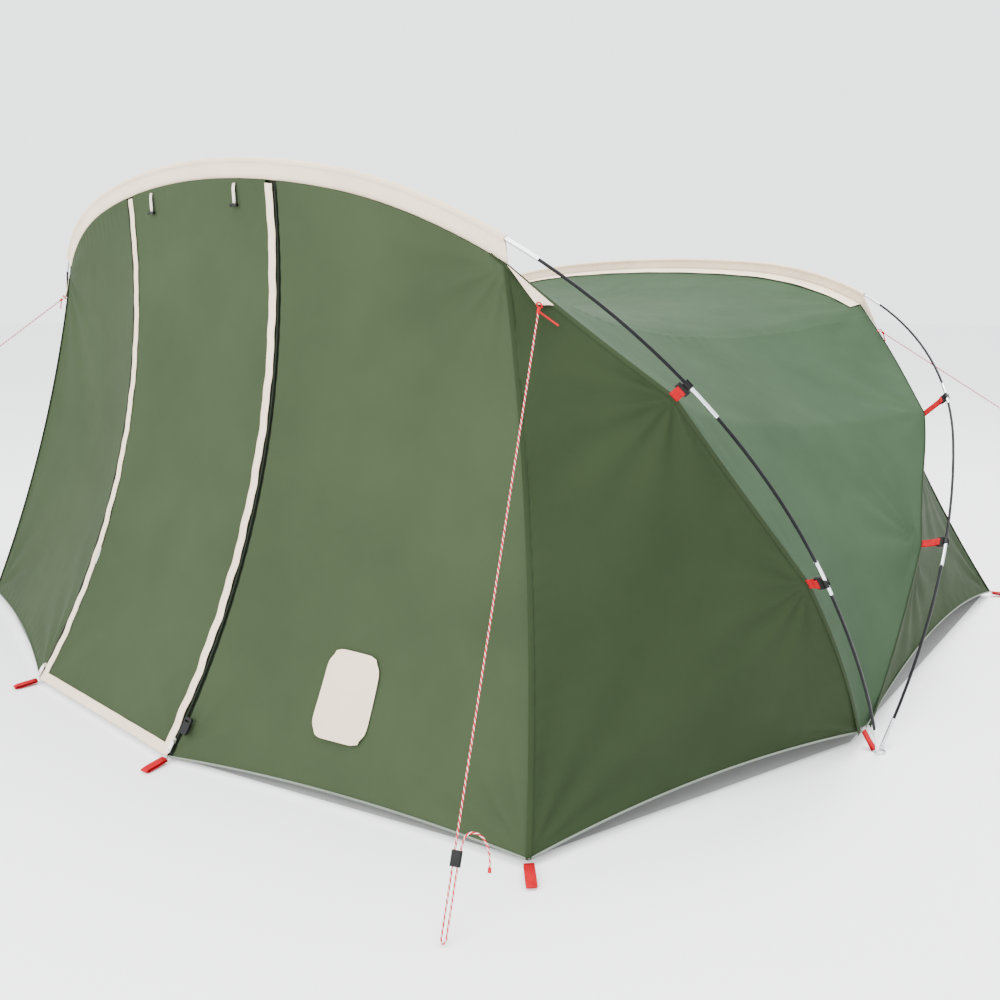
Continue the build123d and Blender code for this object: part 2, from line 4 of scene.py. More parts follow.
import bmesh
import bpy
import numpy as np
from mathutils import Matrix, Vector

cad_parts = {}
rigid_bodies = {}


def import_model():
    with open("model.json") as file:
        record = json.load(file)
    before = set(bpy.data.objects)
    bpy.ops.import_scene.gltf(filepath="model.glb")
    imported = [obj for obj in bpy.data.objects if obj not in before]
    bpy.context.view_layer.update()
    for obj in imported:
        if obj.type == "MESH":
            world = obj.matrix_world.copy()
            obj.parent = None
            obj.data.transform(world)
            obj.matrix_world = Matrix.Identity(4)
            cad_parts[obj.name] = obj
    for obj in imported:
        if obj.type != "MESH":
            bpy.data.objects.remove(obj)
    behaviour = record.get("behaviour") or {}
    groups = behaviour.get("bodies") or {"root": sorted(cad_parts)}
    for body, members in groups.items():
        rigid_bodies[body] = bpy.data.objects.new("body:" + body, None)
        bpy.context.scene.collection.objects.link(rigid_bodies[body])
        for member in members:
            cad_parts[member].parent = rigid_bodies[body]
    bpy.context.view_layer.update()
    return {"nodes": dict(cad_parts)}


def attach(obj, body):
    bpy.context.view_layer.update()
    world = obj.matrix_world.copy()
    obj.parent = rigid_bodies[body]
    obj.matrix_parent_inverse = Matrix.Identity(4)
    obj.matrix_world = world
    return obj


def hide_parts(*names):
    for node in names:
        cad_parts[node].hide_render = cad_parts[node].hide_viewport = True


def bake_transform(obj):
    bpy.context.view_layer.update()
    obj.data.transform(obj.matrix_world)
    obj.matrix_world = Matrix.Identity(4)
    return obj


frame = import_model()

# A family tent on two arched poles. Metres, +Z up, the door faces -Y.

# ---- The tent's own measures --------------------------------------------------------------
SPAN = 3.500
FOOT_GAP = 0.012
FOOT_HEIGHT = 0.006
SLEEVE_TAIL = 0.045
FRONT_CORNER = np.array((1.373, -1.006, 0.020))
REAR_CORNER = np.array((1.617, 1.580, 0.020))
DOOR_HALF = 0.374
DOOR_FOOT = np.array((DOOR_HALF, -1.267, 0.014))
EDGE_START = 0.050
MIRROR = np.array((-1.0, 1.0, 1.0))  # from the right-hand side to the left


# ---- Camera -------------------------------------------------------------------------------
def make_camera():
    data = bpy.data.cameras.new("camera")
    data.sensor_width = 36
    data.lens = 33.8
    camera = bpy.data.objects.new("camera", data)
    bpy.context.scene.collection.objects.link(camera)
    camera.location = (2.491, -2.379, 1.204)
    turned, down = 0.7173, 0.2239
    ahead = Vector(
        (-math.sin(turned) * math.cos(down), math.cos(turned) * math.cos(down), -math.sin(down))
    )
    camera.rotation_euler = ahead.to_track_quat("-Z", "Y").to_euler()
    data.clip_start = 0.05
    data.clip_end = 60
    bpy.context.scene.camera = camera


# ---- The poles' curves --------------------------------------------------------------------
class Hoop:
    """An arched pole: three arcs a half, in a plane that leans by tilt degrees."""

    def __init__(self, side, tilt, splay, radii, turns, sleeve, clips, tails, sags):
        self.side = side
        self.tilt = math.radians(tilt)
        self.sleeve = sleeve
        self.clips = clips
        self.marks = (0, *clips, sleeve)
        self.tails = tails
        self.sags = np.array((*sags, 0))
        across, up, heading, length = SPAN / 2, 0.0, -math.radians(splay), 0.0
        self.arcs = []
        for radius, turn in zip(radii, turns):
            angle = math.radians(turn)
            self.arcs.append((length, radius, across, up, heading))
            across -= radius * (math.cos(heading) - math.cos(heading + angle))
            up += radius * (math.sin(heading + angle) - math.sin(heading))
            heading += angle
            length += radius * angle
        crown = across / math.cos(heading)
        self.arcs.append((length, crown, across, up, heading))
        self.half = length + crown * (math.pi / 2 - heading)
        self.length = 2 * self.half

    def point(self, place, inward=0.0, out=0.0):
        """Points at distances from the right foot, moved inward and out of the plane."""
        place = np.asarray(place, float)
        mirror = np.where(place <= self.half, 1.0, -1.0)
        near = np.where(place <= self.half, place, self.length - place)
        across, up = np.zeros_like(near), np.zeros_like(near)
        for length, radius, x, z, start in self.arcs:
            here = near >= length if length > 0 else np.ones_like(near, bool)
            heading = start + (near - length) / radius
            a = x - radius * (math.cos(start) - np.cos(heading)) - inward * np.cos(heading)
            b = z + radius * (np.sin(heading) - math.sin(start)) - inward * np.sin(heading)
            across, up = np.where(here, a, across), np.where(here, b, up)
        y = self.side * (FOOT_GAP + up * math.sin(self.tilt) + out * math.cos(self.tilt))
        z = FOOT_HEIGHT + up * math.cos(self.tilt) - out * math.sin(self.tilt)
        return np.stack([mirror * across, y, z], -1)

    def edge_distance(self, from_foot):
        """From the pole's axis to the cloth's edge: it draws in between the clips."""
        share = np.interp(from_foot, self.marks, range(4))
        span = np.floor(share).astype(int)
        t = share - span
        return np.interp(from_foot, self.marks, self.tails) + self.sags[span] * 4 * t * (1 - t)

    def cloth_edge(self, place, out=0.0, further=0.0):
        """The line the cloth hangs from: the sleeve's tail over the top, the clips below it."""
        place = np.asarray(place, float)
        from_foot = np.minimum(place, self.length - place)
        swing = self.tilt * smooth(from_foot / self.sleeve)
        distance = self.edge_distance(from_foot) + further
        return self.point(place, distance * np.cos(swing), distance * np.sin(swing) + out)


def smooth(x):
    x = np.clip(x, 0.0, 1.0)
    return x * x * (3 - 2 * x)


FRONT = Hoop(
    -1, 28.75, 1.5, (2.270, 1.448), (16.5, 62.5), sleeve=1.730, clips=(0.600, 1.187),
    tails=(0.045, 0.045, 0.045, 0.045), sags=(0, 0.025, 0.022),
)
REAR = Hoop(
    1, 50.8, 2.8, (3.315, 1.336), (19.5, 66), sleeve=2.050, clips=(0.712, 1.345),
    tails=(0.045, 0.072, 0.097, 0.045), sags=(0.008, 0.020, 0.046),
)
HOOPS = {"front": FRONT, "rear": REAR}
SIDE_CORNER = np.array((SPAN / 2 - SLEEVE_TAIL, 0.0, 0.050))
FRONT_SEAM_TOP = FRONT.sleeve - 0.050  # the front corner seams end a little below the sleeve


# ---- Curves and surfaces ------------------------------------------------------------------
def bowed(a, b, bow):
    """A curve from a to b that leaves the straight line by bow at its middle."""
    a, b, bow = (np.asarray(p, float) for p in (a, b, bow))

    def curve(t):
        t = np.asarray(t, float)[..., None]
        return a * (1 - t) + b * t + bow * (4 * t * (1 - t))

    return curve


def arc_between(a, b, bow):
    """A circular arc from a to b whose middle is off the straight line by bow, near enough."""
    a, b, bow = (np.asarray(p, float) for p in (a, b, bow))
    chord = b - a
    length = np.linalg.norm(chord)
    along = chord / length
    off = bow - along * (bow @ along)
    size = np.linalg.norm(off)
    side = off / size
    radius = (length**2 / 4 + size**2) / (2 * size)
    centre = (a + b) / 2 - side * (radius - size)
    half = math.asin(length / 2 / radius)

    def curve(t):
        angle = (2 * np.asarray(t, float)[..., None] - 1) * half
        return centre + radius * (np.cos(angle) * side + np.sin(angle) * along)

    return curve


def mirrored(curve):
    return lambda t: curve(t) * MIRROR


def edge_between(hoop, start, end, out=0.0):
    return lambda t: hoop.cloth_edge(start + (end - start) * np.asarray(t, float), out)


def patch(bottom, top, left, right):
    """A surface over four edge curves, blended between them."""

    def surface(u, v):
        U, V = u[..., None], v[..., None]
        low = bottom(0.0) * (1 - U) + bottom(1.0) * U
        high = top(0.0) * (1 - U) + top(1.0) * U
        across = left(v) * (1 - U) + right(v) * U
        along = bottom(u) * (1 - V) + top(u) * V
        return across + along - low * (1 - V) - high * V

    return surface


def pulled(surface, amount, direction):
    """A surface pulled in at its middle, and not at its edges."""
    direction = np.asarray(direction, float)

    def moved(u, v):
        return surface(u, v) + direction * (amount * 16 * u * (1 - u) * v * (1 - v))[..., None]

    return moved


def door_top():
    places = np.linspace(FRONT.sleeve, FRONT.half, 4000)
    return float(places[np.argmin(np.abs(FRONT.cloth_edge(places, WALL_OUT)[:, 0] - DOOR_HALF))])


WALL_OUT = 0.004  # the walls hang on one side of the cloth's edge and the canopy on the other
CANOPY_OUT = -0.004
DOOR_TOP = door_top()
zip_curve = arc_between(DOOR_FOOT, FRONT.cloth_edge(DOOR_TOP, WALL_OUT), (0, 0.130, 0))
front_seam = bowed(FRONT_CORNER, FRONT.cloth_edge(FRONT_SEAM_TOP, WALL_OUT), (0, 0.040, 0))
rear_seam = bowed(REAR_CORNER, REAR.cloth_edge(REAR.sleeve, WALL_OUT), (-0.030, -0.045, 0))


front_hem = bowed(DOOR_FOOT, FRONT_CORNER, (-0.010, 0.020, 0.012))
FRONT_FOOT = SIDE_CORNER + np.array((0, -0.014, 0))  # where the side walls end, beside the ring
REAR_FOOT = SIDE_CORNER + np.array((0, 0.014, 0))
front_side_hem = bowed(FRONT_CORNER, FRONT_FOOT, (-0.015, 0, 0.027))
rear_side_hem = bowed(REAR_CORNER, REAR_FOOT, (-0.015, 0, 0.070))
rear_hem = bowed(REAR_CORNER, REAR_CORNER * MIRROR, (0, 0.070, 0.025))


def front_wall(u, v):
    top = edge_between(FRONT, DOOR_TOP, FRONT_SEAM_TOP, WALL_OUT)
    return pulled(patch(front_hem, top, zip_curve, front_seam), 0.045, (-0.2, 1, 0))(u, v)


def door(u, v):
    foot = bowed(DOOR_FOOT, DOOR_FOOT * MIRROR, (0, 0, 0))
    head = edge_between(FRONT, DOOR_TOP, FRONT.length - DOOR_TOP, WALL_OUT)
    return patch(foot, head, zip_curve, mirrored(zip_curve))(u, v)


def side_wall(hoop, hem, seam):
    end = (FRONT_SEAM_TOP if hoop is FRONT else hoop.sleeve) - 0.040
    top = bowed(seam(1.0), hoop.cloth_edge(end, WALL_OUT), (0, 0, 0))
    fold = edge_between(hoop, EDGE_START, end, WALL_OUT)

    def fold_from_corner(t):
        share = smooth(8 * np.asarray(t, float))[..., None]
        return fold(t) * share + hem(1.0) * (1 - share)

    return patch(hem, top, seam, fold_from_corner)


front_side_surface = side_wall(FRONT, front_side_hem, front_seam)
rear_side_surface = side_wall(REAR, rear_side_hem, rear_seam)


def canopy(u, v):
    """The saddle of cloth between the two poles: u from foot to foot, v front to rear."""
    ends = []
    for hoop in (FRONT, REAR):
        start, end = EDGE_START, hoop.length - EDGE_START
        ends.append(hoop.cloth_edge(start + (end - start) * u, CANOPY_OUT))
    chord = ends[1] - ends[0]
    middle = (ends[0] + ends[1]) / 2
    pull = np.array((0, 0.350, 0.250)) - middle
    length = np.linalg.norm(chord, axis=-1, keepdims=True)
    pull = pull - chord * ((pull * chord).sum(-1, keepdims=True) / length**2)
    pull = pull / np.linalg.norm(pull, axis=-1, keepdims=True)
    V = v[..., None]
    return ends[0] * (1 - V) + ends[1] * V + pull * (0.105 * length * 4 * V * (1 - V))


def rear_wall(u, v):
    top = edge_between(REAR, REAR.sleeve, REAR.length - REAR.sleeve, WALL_OUT)
    return pulled(patch(rear_hem, top, rear_seam, mirrored(rear_seam)), 0.060, (0, -1, 0))(u, v)


# ---- Meshes -------------------------------------------------------------------------------
def link(obj, body="tent"):
    """Into the scene, on a body; with None it is left on no body."""
    bpy.context.scene.collection.objects.link(obj)
    if body:
        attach(obj, body)
    return obj


def mesh_object(name, verts, faces, material, body="tent"):
    data = bpy.data.meshes.new(name)
    data.from_pydata([tuple(map(float, v)) for v in verts], [], faces)
    data.validate()
    for polygon in data.polygons:
        polygon.use_smooth = True
    obj = bpy.data.objects.new(name, data)
    for one in material if isinstance(material, (list, tuple)) else (material,):
        data.materials.append(one)
    return link(obj, body)


def grid_faces(nu, nv, closed=False):
    faces = []
    for i in range(nu - 1):
        for j in range(nv if closed else nv - 1):
            k = (j + 1) % nv
            faces.append((i * nv + j, (i + 1) * nv + j, (i + 1) * nv + k, i * nv + k))
    return faces


def normals_of(points):
    """Unit normals of a grid of points."""
    across = np.gradient(points, axis=0)
    along = np.gradient(points, axis=1)
    normal = np.cross(across, along)
    size = np.linalg.norm(normal, axis=-1, keepdims=True)
    return normal / np.maximum(size, 1e-12)


def radiating(points, anchor, reach, ridges, height, phase=0.0):
    """Heights of the folds that spread over cloth from a point where it is pulled."""
    offset = points - np.asarray(anchor, float)
    distance = np.linalg.norm(offset, axis=-1)
    flat = offset.reshape(-1, 3)
    axes = np.linalg.svd(flat[::17] - flat.mean(0))[2]
    angle = np.arctan2(offset @ axes[1], offset @ axes[0])
    rise = distance / (distance + 0.05)
    return height * rise * np.exp(-distance / reach) * np.cos(ridges * angle + phase)


def rolling(points, size, height, seed, turns=5):
    """Soft uneven waves over cloth, from a few crossed sines."""
    local = np.random.default_rng(seed)
    total = np.zeros(points.shape[:2])
    for _ in range(turns):
        direction = local.normal(size=3)
        direction /= np.linalg.norm(direction)
        wave = size * local.uniform(0.6, 1.6)
        total += np.sin(points @ direction * (2 * math.pi / wave) + local.uniform(0, 6.28))
    return total * height / turns


def puckers(points, u, v, height=0.0011, wave=0.045):
    """Short ripples that the stitching draws into cloth beside its four edges."""
    width = float(np.linalg.norm(np.diff(points, axis=0), axis=2).sum(0).mean())
    tall = float(np.linalg.norm(np.diff(points, axis=1), axis=2).sum(1).mean())
    edges = (
        (u * width, v * tall),
        ((1 - u) * width, v * tall),
        (v * tall, u * width),
        ((1 - v) * tall, u * width),
    )
    total = np.zeros_like(u)
    for distance, along in edges:
        phase = 1.3 * np.sin(along * 9) + 0.8 * np.sin(along * 23 + 1)
        strength = np.exp(-distance / 0.035) * (1 - np.exp(-distance / 0.004))
        total += strength * np.cos(along * (2 * math.pi / wave) + phase)
    return total * height


def sheet_grid(surface, nu, nv, across=(0.0, 1.0), up=(0.0, 1.0)):
    u = np.linspace(*across, nu)[:, None] * np.ones((1, nv))
    v = np.linspace(*up, nv)[None, :] * np.ones((nu, 1))
    return surface(u, v), u, v


def edge_fade(u, v, width=0.06):
    """0 on the edges of a panel, 1 inside."""
    return smooth(np.minimum.reduce([u, 1 - u, v, 1 - v]) / width)


def flip(points, side):
    return points if side > 0 else points * MIRROR


def ribbon(name, line, across, width, thickness, material, body="tent", bulge=0.0):
    """A strap: line is its middle, across its width direction at each point."""
    line, across = np.asarray(line, float), np.asarray(across, float)
    along = np.gradient(line, axis=0)
    along /= np.linalg.norm(along, axis=1, keepdims=True)
    across = across - along * (across * along).sum(1, keepdims=True)
    across /= np.linalg.norm(across, axis=1, keepdims=True)
    normal = np.cross(along, across)
    t = thickness / 2
    w = width / 2
    profile = [(-w, -t * 0.6), (-w, t * 0.6), (-w * 0.94, t), (0, t + bulge), (w * 0.94, t)]
    profile += [(w, t * 0.6), (w, -t * 0.6), (w * 0.94, -t), (0, -t - bulge), (-w * 0.94, -t)]
    verts = [line + across * a + normal * b for a, b in profile]
    verts = np.stack(verts, 1).reshape(-1, 3)
    count = len(profile)
    faces = grid_faces(len(line), count, closed=True)
    faces.append(tuple(range(count)))
    last = (len(line) - 1) * count
    faces.append(tuple(last + i for i in reversed(range(count))))
    return mesh_object(name, verts, faces, material, body)


def tube_mesh(line, radius, sides=10):
    """Vertices of a round tube along points, with a frame that doesn't twist."""
    line = np.asarray(line, float)
    along = np.gradient(line, axis=0)
    along /= np.linalg.norm(along, axis=1, keepdims=True)
    normal = np.cross(along[0], (0.3, 0.5, 0.8))
    normal /= np.linalg.norm(normal)
    rings = []
    for point, direction in zip(line, along):
        normal = normal - direction * (normal @ direction)
        normal /= np.linalg.norm(normal)
        other = np.cross(direction, normal)
        angles = np.arange(sides) * 2 * math.pi / sides
        rings.append(point + radius * (np.outer(np.cos(angles), normal) + np.outer(np.sin(angles), other)))
    return np.array(rings)


# ---- Materials ----------------------------------------------------------------------------
class Surface:
    """A node material that starts from a Principled shader."""

    def __init__(self, name, colour, roughness, metallic=0.0):
        self.material = bpy.data.materials.new(name)
        self.material.use_nodes = True
        self.tree = self.material.node_tree
        self.shader = self.tree.nodes["Principled BSDF"]
        self.colour = (*colour, 1.0)
        self.shader.inputs["Base Color"].default_value = self.colour
        self.shader.inputs["Roughness"].default_value = roughness
        self.shader.inputs["Metallic"].default_value = metallic
        self.place = self.node("ShaderNodeTexCoord").outputs["Object"]
        self.height = None

    def node(self, kind, **settings):
        made = self.tree.nodes.new(kind)
        for key, value in settings.items():
            setattr(made, key, value)
        return made

    def join(self, output, socket):
        self.tree.links.new(output, socket)

    def noise(self, scale, detail=3.0, rough=0.5, stretch=None):
        made = self.node("ShaderNodeTexNoise")
        made.inputs["Scale"].default_value = scale
        made.inputs["Detail"].default_value = detail
        made.inputs["Roughness"].default_value = rough
        place = self.place
        if stretch:
            mapping = self.node("ShaderNodeMapping")
            mapping.inputs["Scale"].default_value = stretch
            self.join(place, mapping.inputs["Vector"])
            place = mapping.outputs["Vector"]
        self.join(place, made.inputs["Vector"])
        return made.outputs["Fac"]

    def wave(self, scale, direction="X", distortion=0.0):
        made = self.node("ShaderNodeTexWave", bands_direction=direction)
        made.inputs["Scale"].default_value = scale
        made.inputs["Distortion"].default_value = distortion
        self.join(self.place, made.inputs["Vector"])
        return made.outputs["Fac"]

    def maths(self, operation, a, b):
        made = self.node("ShaderNodeMath", operation=operation)
        for socket, value in zip(made.inputs, (a, b)):
            if isinstance(value, (int, float)):
                socket.default_value = value
            else:
                self.join(value, socket)
        return made.outputs[0]

    def tint(self, factor, low, high, low_at=0.3, high_at=0.7):
        """The base colour goes from low to high times itself as factor rises."""
        ramp = self.node("ShaderNodeValToRGB")
        ramp.color_ramp.elements[0].position = low_at
        ramp.color_ramp.elements[1].position = high_at
        for element, times in zip(ramp.color_ramp.elements, (low, high)):
            element.color = (*(min(c * times, 1.0) for c in self.colour[:3]), 1.0)
        self.join(factor, ramp.inputs["Fac"])
        self.join(ramp.outputs["Color"], self.shader.inputs["Base Color"])
        return ramp

    def rough(self, factor, low, high):
        made = self.node("ShaderNodeMapRange")
        made.inputs["To Min"].default_value = low
        made.inputs["To Max"].default_value = high
        self.join(factor, made.inputs["Value"])
        self.join(made.outputs["Result"], self.shader.inputs["Roughness"])

    def bump(self, factor, distance, strength=1.0):
        made = self.node("ShaderNodeBump")
        made.inputs["Distance"].default_value = distance
        made.inputs["Strength"].default_value = strength
        self.join(factor, made.inputs["Height"])
        if self.height is not None:
            self.join(self.height, made.inputs["Normal"])
        self.height = made.outputs["Normal"]
        self.join(self.height, self.shader.inputs["Normal"])


def cloth_surface(name, colour, roughness=0.55, crease=0.0035, seed=0.0):
    s = Surface(name, colour, roughness)
    s.shader.inputs["Specular IOR Level"].default_value = 0.012
    patches = s.noise(3.2 + seed, 4.0, 0.55)
    s.tint(patches, 0.92, 1.08)
    s.bump(s.noise(9.0 + seed, 5.0, 0.6, stretch=(1.0, 1.0, 0.45)), crease, 0.55)
    s.bump(s.noise(34.0, 3.0, 0.5), 0.0006, 0.6)
    threads = s.maths("ADD", s.wave(420.0, "Z"), s.wave(420.0, "X"))
    s.bump(threads, 0.00006, 0.5)
    s.rough(s.noise(26.0, 3.0), roughness - 0.06, roughness + 0.08)
    return s.material


def webbing_surface(name, colour):
    s = Surface(name, colour, 0.7)
    s.shader.inputs["Specular IOR Level"].default_value = 0.08
    s.tint(s.noise(60.0, 3.0), 0.85, 1.12)
    ribs = s.maths("ADD", s.wave(260.0, "DIAGONAL"), s.wave(330.0, "Z"))
    s.bump(ribs, 0.0003, 0.8)
    s.bump(s.noise(420.0, 2.0), 0.0002, 0.5)
    return s.material


def plastic_surface(name, colour, roughness=0.42):
    s = Surface(name, colour, roughness)
    s.shader.inputs["Specular IOR Level"].default_value = 0.15
    s.tint(s.noise(45.0, 2.0), 0.9, 1.12)
    s.rough(s.noise(80.0, 4.0), roughness - 0.08, roughness + 0.1)
    s.bump(s.noise(900.0, 2.0), 0.00005, 0.5)
    return s.material


def metal_surface(name, colour, roughness=0.3, stretch=(1.0, 1.0, 0.05)):
    s = Surface(name, colour, roughness, metallic=1.0)
    scratches = s.noise(500.0, 3.0, 0.6, stretch=stretch)
    s.rough(scratches, roughness - 0.08, roughness + 0.14)
    s.bump(scratches, 0.00003, 0.6)
    s.tint(s.noise(30.0), 0.9, 1.05)
    return s.material


def rod_surface():
    s = Surface("rod_black", (0.004, 0.004, 0.005), 0.36)
    s.shader.inputs["Specular IOR Level"].default_value = 0.12
    s.tint(s.noise(40.0, 4.0), 0.7, 1.6)
    s.rough(s.noise(120.0, 4.0), 0.25, 0.42)
    s.bump(s.noise(700.0, 2.0, stretch=(1, 1, 0.1)), 0.00004, 0.6)
    return s.material


def zip_surface():
    # Dark olive: the coil's own colour, and painted shadow on the strips beside the zips that use this
    # material too
    s = Surface("zip_coil", (0.012, 0.016, 0.010), 0.6)
    s.shader.inputs["Specular IOR Level"].default_value = 0.05
    s.tint(s.wave(210.0, "Z"), 0.6, 1.6)
    s.bump(s.wave(210.0, "Z"), 0.0006, 0.9)
    return s.material


OLIVE = (0.034, 0.048, 0.0245)
# Painted shade: the front walls' olive made darker for the side walls and the corner and fold seams, on which
# less light falls
SHADED_OLIVE = (0.022, 0.033, 0.0155)
ROOF = (0.033, 0.055, 0.031)
CREAM = (0.68, 0.56, 0.41)
RED = (0.36, 0.0015, 0.008)

cloth_front = cloth_surface("cloth_front", OLIVE)
cloth_side = cloth_surface("cloth_side", SHADED_OLIVE, seed=0.7)
cloth_roof = cloth_surface("cloth_roof", ROOF, seed=1.3)
cream_cloth = cloth_surface("cream_cloth", CREAM, 0.7, crease=0.002, seed=2.0)
hem_tape = cloth_surface("hem_tape", (0.15, 0.17, 0.14), 0.7, crease=0.001, seed=1.0)
sheet_grey = cloth_surface("sheet_grey", (0.26, 0.27, 0.26), 0.5, crease=0.003)
webbing_red = webbing_surface("webbing_red", RED)
webbing_cream = webbing_surface("webbing_cream", (0.70, 0.64, 0.54))
black_plastic = plastic_surface("black_plastic", (0.004, 0.004, 0.004))
white_plastic = plastic_surface("white_plastic", (0.74, 0.72, 0.66), 0.38)
ferrule_metal = metal_surface("ferrule_metal", (0.72, 0.73, 0.75), 0.26)
ring_metal = metal_surface("ring_metal", (0.60, 0.61, 0.63), 0.3, stretch=(1, 1, 1))
slider_metal = metal_surface("slider_metal", (0.70, 0.68, 0.62), 0.34, stretch=(1, 1, 1))
rod_black = rod_surface()
zip_dark = zip_surface()
cord_red = webbing_surface("cord_red", (0.45, 0.004, 0.012))
cord_white = webbing_surface("cord_white", (0.78, 0.62, 0.60))


# ---- Cloth --------------------------------------------------------------------------------
def cloth_piece(name, points, material, body="tent"):
    nu, nv = points.shape[:2]
    return mesh_object(name, points.reshape(-1, 3), grid_faces(nu, nv), material, body)


def flat_size(points):
    """Width, length and area of a grid of points."""
    across = np.linalg.norm(np.diff(points, axis=0), axis=2).sum(0)
    along = np.linalg.norm(np.diff(points, axis=1), axis=2).sum(1)
    a, b = points[1:, :-1] - points[:-1, :-1], points[:-1, 1:] - points[:-1, :-1]
    c, d = points[1:, :-1] - points[1:, 1:], points[:-1, 1:] - points[1:, 1:]
    area = (np.linalg.norm(np.cross(a, b), axis=2) + np.linalg.norm(np.cross(c, d), axis=2)).sum() / 2
    return float(across.max()), float(along.max()), float(area)


def declare_sheet(points, three_sided=False):
    """A three-sided piece is cut from a rectangle as long as its longest side."""
    width, length, area = flat_size(points)
    if three_sided:
        width, length = 2 * area / max(width, length), max(width, length)


def wrinkled(points, u, v, anchors, seed, roll=0.0045, fade=0.05):
    """Cloth with the folds of its anchors and soft waves, laid along its normals."""
    height = rolling(points, 0.42, roll, seed) + rolling(points, 0.16, roll * 0.35, seed + 1)
    height = height * edge_fade(u, v, 0.12) + puckers(points, u, v)
    for anchor, reach, ridges, rise, phase in anchors:
        height = height + radiating(points, anchor, reach, ridges, rise, phase) * edge_fade(u, v, fade)
    return points + normals_of(points) * height[..., None]


def make_front_walls():
    for side, hand in ((1, "right"), (-1, "left")):
        points, u, v = sheet_grid(front_wall, 110, 180, across=(0.016, 1.0))
        anchors = (
            (FRONT_CORNER, 0.34, 15, 0.009, 0.4),
            (DOOR_FOOT, 0.26, 13, 0.008, 1.2),
            (FRONT.cloth_edge(FRONT_SEAM_TOP), 0.35, 12, 0.007, 2.0),
        )
        points = flip(wrinkled(points, u, v, anchors, 11 + side), side)
        piece = cloth_piece(f"wall_front_{hand}", points, cloth_front)
        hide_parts(f"front_wall_{hand}")
        declare_sheet(points)


def make_door():
    points, u, v = sheet_grid(door, 90, 180, across=(0.042, 0.958), up=(0.016, 1.0))
    anchors = (
        (DOOR_FOOT, 0.20, 12, 0.004, 0.2),
        (DOOR_FOOT * MIRROR, 0.20, 12, 0.004, 1.7),
    )
    points = wrinkled(points, u, v, anchors, 21)
    piece = cloth_piece("door_cloth", points, cloth_front, None)
    hang_from_sleeve(piece)
    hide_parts("door_panel")
    declare_sheet(points)


def hang_from_sleeve(piece):
    """The piece's place is baked into its mesh; it is left on no body."""
    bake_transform(piece)


def make_door_trim():
    """The cream bindings beside the zips and the band along the door's foot."""
    for hand, low, high in (("right", 0.004, 0.042), ("left", 0.958, 0.996)):
        points, u, v = sheet_grid(door, 9, 260, across=(low, high), up=(0.0, 0.995))
        share = (u - low) / (high - low)
        sway = 0.0024 * np.sin(v * 57 + low * 9) + 0.0018 * np.sin(v * 131 + 1)
        points = points + np.array((1.0, 0, 0)) * (sway * (1 - 0.6 * v))[..., None]
        lift = 0.0016 + 0.0022 * np.sin(share * math.pi) * (1 + 0.6 * np.sin(v * 83 + 2))
        points = points + outward_normals(points) * lift[..., None]
        piece = cloth_piece(f"zip_binding_{hand}", points, cream_cloth, None)
        thicken(piece, 0.0008)
        hang_from_sleeve(piece)
        if hand == "right":
            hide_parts("door_bindings")
    points, u, v = sheet_grid(door, 120, 7, across=(0.0, 1.0), up=(0.0, 0.018))
    lift = 0.0015 + 0.0012 * np.sin(u * 37) * np.sin(u * 11 + 1)
    points = points + outward_normals(points) * lift[..., None]
    piece = cloth_piece("door_hem", points, cream_cloth, "door")
    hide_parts("door_hem_band")
    thicken(piece, 0.0012)


def outward_normals(points):
    """Normals on the side of the door that faces -Y."""
    normal = normals_of(points)
    return normal * -np.sign(normal[..., 1:2])


def thicken(obj, thickness):
    """Solid cloth from a sheet, with its new thickness in the mesh."""
    made = bmesh.new()
    made.from_mesh(obj.data)
    bmesh.ops.solidify(made, geom=made.faces[:], thickness=thickness)
    made.to_mesh(obj.data)
    made.free()
    for polygon in obj.data.polygons:
        polygon.use_smooth = True


def make_side_walls():
    for name, hoop, corner, surface in (
        ("front_side", FRONT, FRONT_CORNER, front_side_surface),
        ("rear_side", REAR, REAR_CORNER, rear_side_surface),
    ):
        for side, hand in ((1, "right"), (-1, "left")):
            points, u, v = sheet_grid(surface, 90, 180)
            anchors = [(corner, 0.34, 14, 0.009, 0.8), (SIDE_CORNER, 0.32, 14, 0.009, 0.1)]
            anchors += [(hoop.cloth_edge(place), 0.26, 11, 0.009, place * 3) for place in hoop.clips]
            points = flip(wrinkled(points, u, v, anchors, 31 + side), side)
            # the side walls take the darker olive of painted shade
            piece = cloth_piece(f"{name}_cloth_{hand}", points, cloth_side)
            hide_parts(f"{name}_wall_{hand}")
            declare_sheet(points, three_sided=True)


